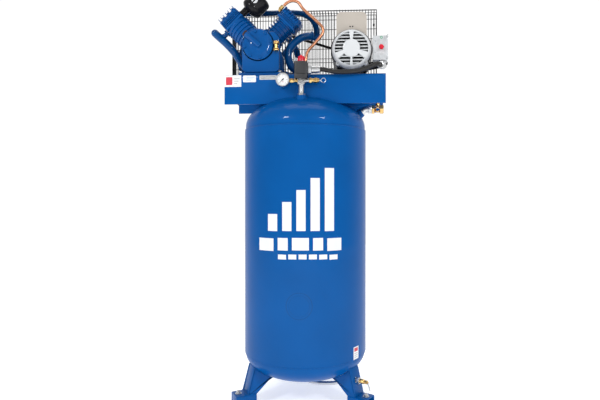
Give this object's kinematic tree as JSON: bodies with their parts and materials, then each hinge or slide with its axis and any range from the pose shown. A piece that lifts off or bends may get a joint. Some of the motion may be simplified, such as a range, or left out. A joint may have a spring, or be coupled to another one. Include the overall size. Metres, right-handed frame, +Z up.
{
  "type": "air compressor",
  "caption": "Upright blue tank air compressor on three legs with a V-twin belt-drive pump, electric motor, wire belt guard, pressure switch, gauge and valves on top.",
  "frame": {"origin": "centre of the footprint box, on the floor", "axes": "+Z up along the tank, -Y is the front with the gauge and switch, +X is the outlet valve side"},
  "size_m": [0.7496, 0.565, 1.6992],
  "materials": {
    "blue_paint": "glossy enamel, slight orange peel",
    "dark_blue_paint": "glossy enamel on a finned tube",
    "black_rubber": "matt",
    "galvanized_steel": "zinc plated",
    "machined_steel": "turned",
    "piston_aluminium": "cast and turned",
    "brass": "turned, semi-bright",
    "copper": "bright drawn copper tube",
    "black_plastic": "fine grain",
    "black_paint": "satin powder coat",
    "zinc_casting": "die cast",
    "red_plastic": "smooth",
    "gauge_steel": "bright ring, white dial",
    "starter_grey": "light grey powder coat",
    "motor_grey": "grey enamel",
    "cast_aluminium": "painted casting",
    "cover_beige": "satin",
    "brown_plastic": "moulded",
    "cast_iron": "black paint on a casting"
  },
  "bodies": {
    "frame": {"tank_shell": "blue_paint", "tank_head_top": "blue_paint", "tank_head_bottom": "blue_paint", "leg_front_left": "blue_paint", "foot_pad_front_left": "black_rubber", "leg_front_right": "blue_paint", "foot_pad_front_right": "black_rubber", "leg_rear": "blue_paint", "foot_pad_rear": "black_rubber", "platform": "blue_paint", "drain_pipe": "galvanized_steel", "drain_valve_body": "brass", "outlet_elbow": "galvanized_steel", "ball_valve_body": "brass", "riser_pipe": "galvanized_steel", "manifold": "galvanized_steel", "gauge_case": "gauge_steel", "safety_valve_body": "brass", "pressure_switch_base": "zinc_casting", "pressure_switch_cover": "black_plastic", "starter_box": "starter_grey", "starter_cover": "starter_grey", "conduit_connector_left": "galvanized_steel", "conduit_connector_right": "galvanized_steel", "conduit": "black_plastic", "motor_housing": "motor_grey", "motor_end_bell_front": "cast_aluminium", "motor_end_bell_rear": "cast_aluminium", "capacitor_cover": "cover_beige", "drive_belt": "black_rubber", "crankcase": "blue_paint", "crankcase_front_cover": "blue_paint", "oil_filler_plug": "brown_plastic", "brass_breather": "brass", "stage1_cylinder": "blue_paint", "stage2_cylinder": "blue_paint", "stage1_head": "blue_paint", "stage2_head": "blue_paint", "intercooler": "dark_blue_paint", "interstage_pipe": "blue_paint", "discharge_tube": "copper", "check_valve": "brass", "discharge_elbow": "brass", "air_filter": "black_paint", "guard_front": "black_paint", "guard_rear": "black_paint"},
    "crank_train": {"crankshaft": "machined_steel", "flywheel": "cast_iron"},
    "motor_train": {"motor_rotor": "machined_steel", "motor_pulley": "cast_iron"},
    "stage1_piston": {"stage1_piston": "piston_aluminium"},
    "stage2_piston": {"stage2_piston": "piston_aluminium"},
    "stage1_rod": {"stage1_connecting_rod": "machined_steel"},
    "stage2_rod": {"stage2_connecting_rod": "machined_steel"},
    "needle": {"gauge_needle": "black_plastic"},
    "switch_knob": {"pressure_switch_knob": "red_plastic"},
    "safety_ring": {"safety_valve_ring": "galvanized_steel"},
    "outlet_handle": {"ball_valve_handle": "brass"},
    "drain_handle": {"drain_valve_handle": "galvanized_steel"},
    "button": {"stop_button": "red_plastic"}
  },
  "joints": [
    {"name": "crank_spin", "type": "hinge", "parent": "frame", "child": "crank_train", "pos_m": [-0.15115, 0.1415, 1.45], "axis": [0, 1, 0], "continuous": true},
    {"name": "motor_spin", "type": "hinge", "parent": "frame", "child": "motor_train", "pos_m": [0.22785, 0.1415, 1.4255], "axis": [0, 1, 0], "continuous": true},
    {"name": "stage1_piston_slide", "type": "slide", "parent": "frame", "child": "stage1_piston", "axis": [0.7071, 0, -0.7071], "range_m": [-0.012, 0.0515]},
    {"name": "stage2_piston_slide", "type": "slide", "parent": "frame", "child": "stage2_piston", "axis": [-0.7071, 0, -0.7071], "range_m": [-0.012, 0.0515]},
    {"name": "stage1_rod_swing", "type": "hinge", "parent": "stage1_piston", "child": "stage1_rod", "pos_m": [-0.2324, -0.0485, 1.53124], "axis": [0, 1, 0], "range_deg": [-5.9, 33.4]},
    {"name": "stage2_rod_swing", "type": "hinge", "parent": "stage2_piston", "child": "stage2_rod", "pos_m": [-0.06991, -0.0485, 1.53124], "axis": [0, 1, 0], "range_deg": [-33.4, 5.9]},
    {"name": "gauge_needle_turn", "type": "hinge", "parent": "frame", "child": "needle", "pos_m": [-0.04065, -0.2025, 1.293], "axis": [0, 1, 0], "range_deg": [0, 270]},
    {"name": "switch_knob_turn", "type": "hinge", "parent": "frame", "child": "switch_knob", "pos_m": [0.03185, -0.1885, 1.37], "axis": [0, 0, 1], "range_deg": [0, 90]},
    {"name": "safety_ring_pull", "type": "slide", "parent": "frame", "child": "safety_ring", "axis": [1, 0, 0], "range_m": [0, 0.004], "stiffness_N_per_m": 1500, "springref_m": -0.002},
    {"name": "outlet_handle_turn", "type": "hinge", "parent": "frame", "child": "outlet_handle", "pos_m": [0.33585, -0.0285, 1.22], "axis": [0, 0, 1], "range_deg": [0, 90]},
    {"name": "drain_handle_turn", "type": "hinge", "parent": "frame", "child": "drain_handle", "pos_m": [0.28906, -0.177, 0.106], "axis": [0.866, -0.5, 0], "range_deg": [0, 360]},
    {"name": "stop_button_press", "type": "slide", "parent": "frame", "child": "button", "axis": [0, 1, 0], "range_m": [0, 0.003], "stiffness_N_per_m": 800}
  ],
  "couplings": [
    {"joint": "motor_spin", "follows": "crank_spin", "ratio": 2.8648}
  ]
}
